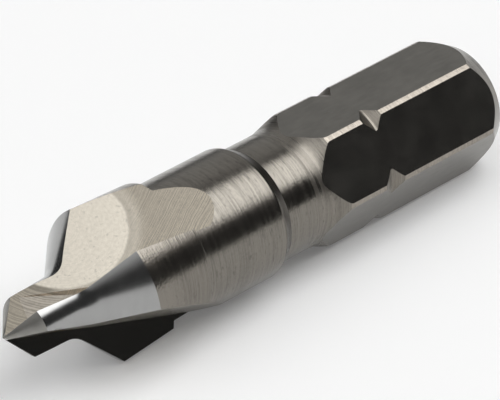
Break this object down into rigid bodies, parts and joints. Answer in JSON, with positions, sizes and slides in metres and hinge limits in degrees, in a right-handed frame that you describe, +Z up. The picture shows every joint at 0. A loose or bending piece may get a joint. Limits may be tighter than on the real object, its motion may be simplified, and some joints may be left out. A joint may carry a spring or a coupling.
{
  "type": "countersink bit",
  "caption": "Steel countersink bit with a short drill pilot, straight flutes, a conical cutting head and a notched hex shank.",
  "frame": {"origin": "on the resting surface, under the middle of the bit's bounding box", "axes": "+X runs along the bit from its point to its shank end, which dips 1.9 degrees towards the surface, +Z is up, and one shank flat faces up"},
  "size_m": [0.0316, 0.008, 0.0076],
  "materials": {
    "steel": "satin"
  },
  "bodies": {
    "root": {"countersink_bit": "steel"}
  },
  "joints": []
}
